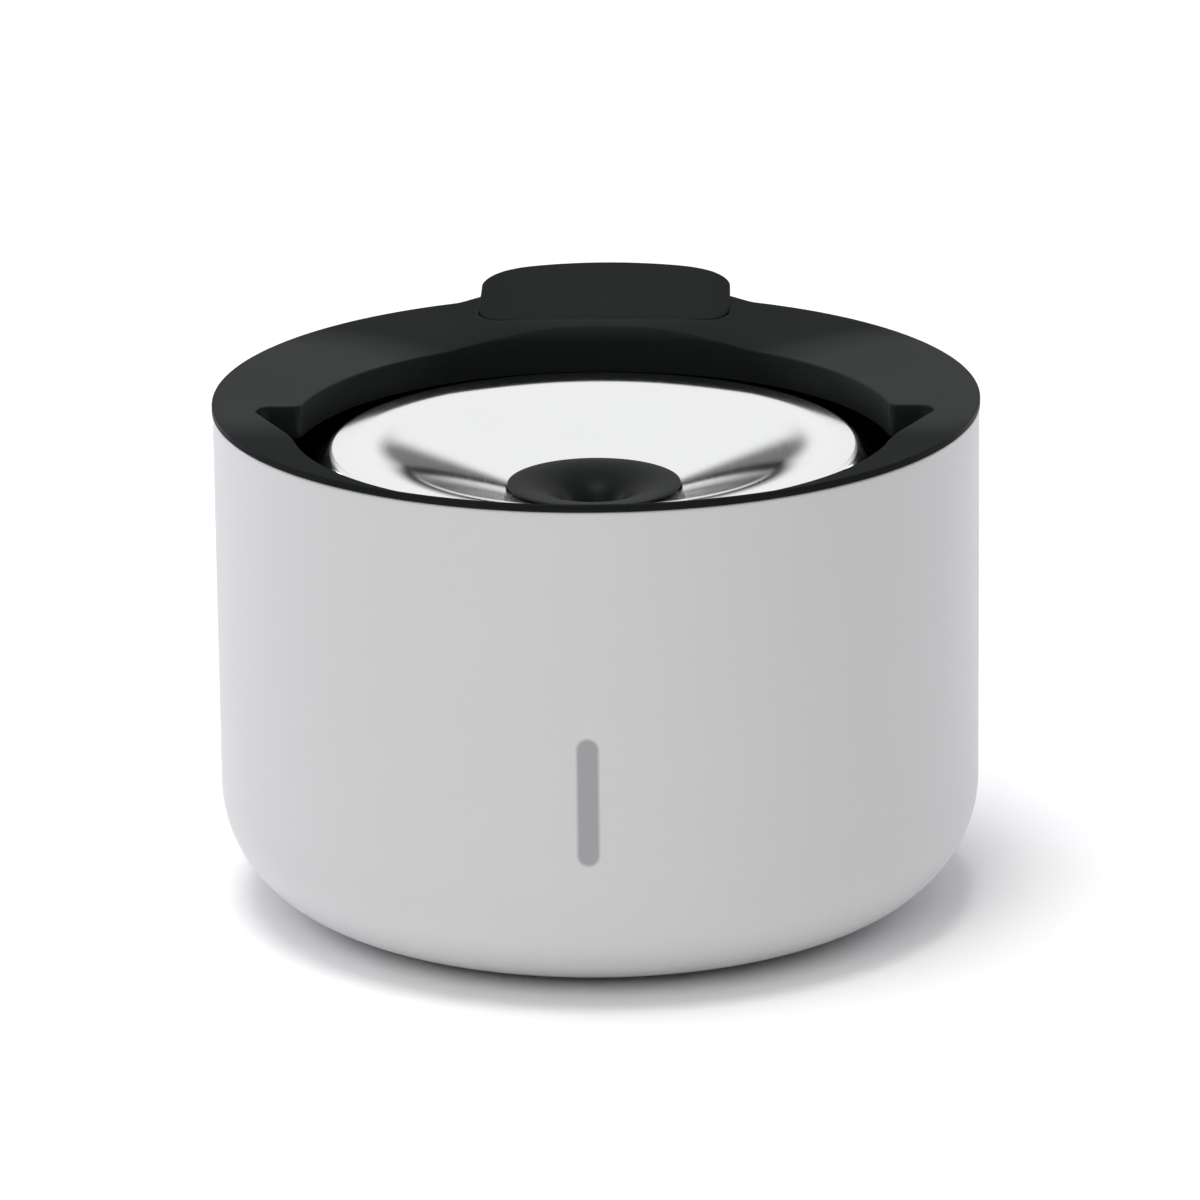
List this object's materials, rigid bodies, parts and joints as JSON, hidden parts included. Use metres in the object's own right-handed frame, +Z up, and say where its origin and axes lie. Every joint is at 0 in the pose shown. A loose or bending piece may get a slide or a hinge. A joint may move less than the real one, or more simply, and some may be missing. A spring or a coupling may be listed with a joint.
{
  "type": "pet water fountain",
  "caption": "Round pet water fountain: a tank with a level window, a flat lid with a refill cap, a lift-out dish with a funnel spout, and a pump inside.",
  "frame": {"origin": "on the tank's axis, at the face of the base pad that rests on the table", "axes": "+Z up along the tank's axis, -Y towards the front with the level window, +Y towards the refill cap, +X to the right as seen from the front"},
  "size_m": [0.196, 0.21, 0.1379],
  "materials": {
    "white_plastic": "satin",
    "black_plastic": "satin",
    "clear_plastic": "frosted",
    "pale_plastic": "satin",
    "pump_plastic": "fine grain",
    "dish_steel": "polished, fine concentric brushing",
    "screw_steel": "plain",
    "rubber": "matt",
    "lead_jacket": "smooth",
    "filter_felt": "felt",
    "foam": "open foam",
    "magnet": "smooth",
    "ceramic": "polished"
  },
  "bodies": {
    "tank": {"housing": "white_plastic", "level_window": "clear_plastic", "window_seal": "rubber", "base_pad": "rubber", "dc_inlet": "black_plastic", "inlet_seal": "rubber", "inlet_nut": "pale_plastic", "riser_tube": "pale_plastic", "pump_cage": "pale_plastic", "pump_foam": "foam", "pump_body": "pump_plastic", "pump_cover": "pump_plastic", "pump_seal": "rubber", "pump_screws": "screw_steel", "impeller_shaft": "ceramic", "shaft_bushes": "rubber", "suction_cups": "rubber", "pump_lead": "lead_jacket", "lead_clips": "pale_plastic"},
    "lid": {"lid_ring": "black_plastic", "lid_seal": "rubber", "tray_screws": "screw_steel", "drip_tray": "black_plastic", "dish_support": "black_plastic", "filter_basket": "pale_plastic", "filter_cartridge": "filter_felt", "filter_cover": "pale_plastic"},
    "cap": {"refill_cap": "black_plastic"},
    "dish": {"dish": "dish_steel", "spout_gasket": "rubber"},
    "spout": {"spout_cup": "black_plastic"},
    "rotor": {"impeller": "white_plastic", "rotor_magnet": "magnet"},
    "regulator": {"flow_regulator": "pale_plastic"}
  },
  "joints": [
    {"name": "lid_lift", "type": "slide", "parent": "tank", "child": "lid", "axis": [0, 0, 1], "range_m": [0, 0.08]},
    {"name": "cap_lift", "type": "slide", "parent": "lid", "child": "cap", "axis": [0, 0, 1], "range_m": [0, 0.03]},
    {"name": "dish_lift", "type": "slide", "parent": "lid", "child": "dish", "axis": [0, 0, 1], "range_m": [0, 0.06]},
    {"name": "spout_lift", "type": "slide", "parent": "dish", "child": "spout", "axis": [0, 0, 1], "range_m": [0, 0.04]},
    {"name": "rotor_spin", "type": "hinge", "parent": "tank", "child": "rotor", "pos_m": [0, -0.02, 0.024], "axis": [0, 1, 0], "continuous": true},
    {"name": "regulator_turn", "type": "hinge", "parent": "tank", "child": "regulator", "pos_m": [0, -0.03245, 0.024], "axis": [0, 1, 0], "range_deg": [0, 60]}
  ]
}
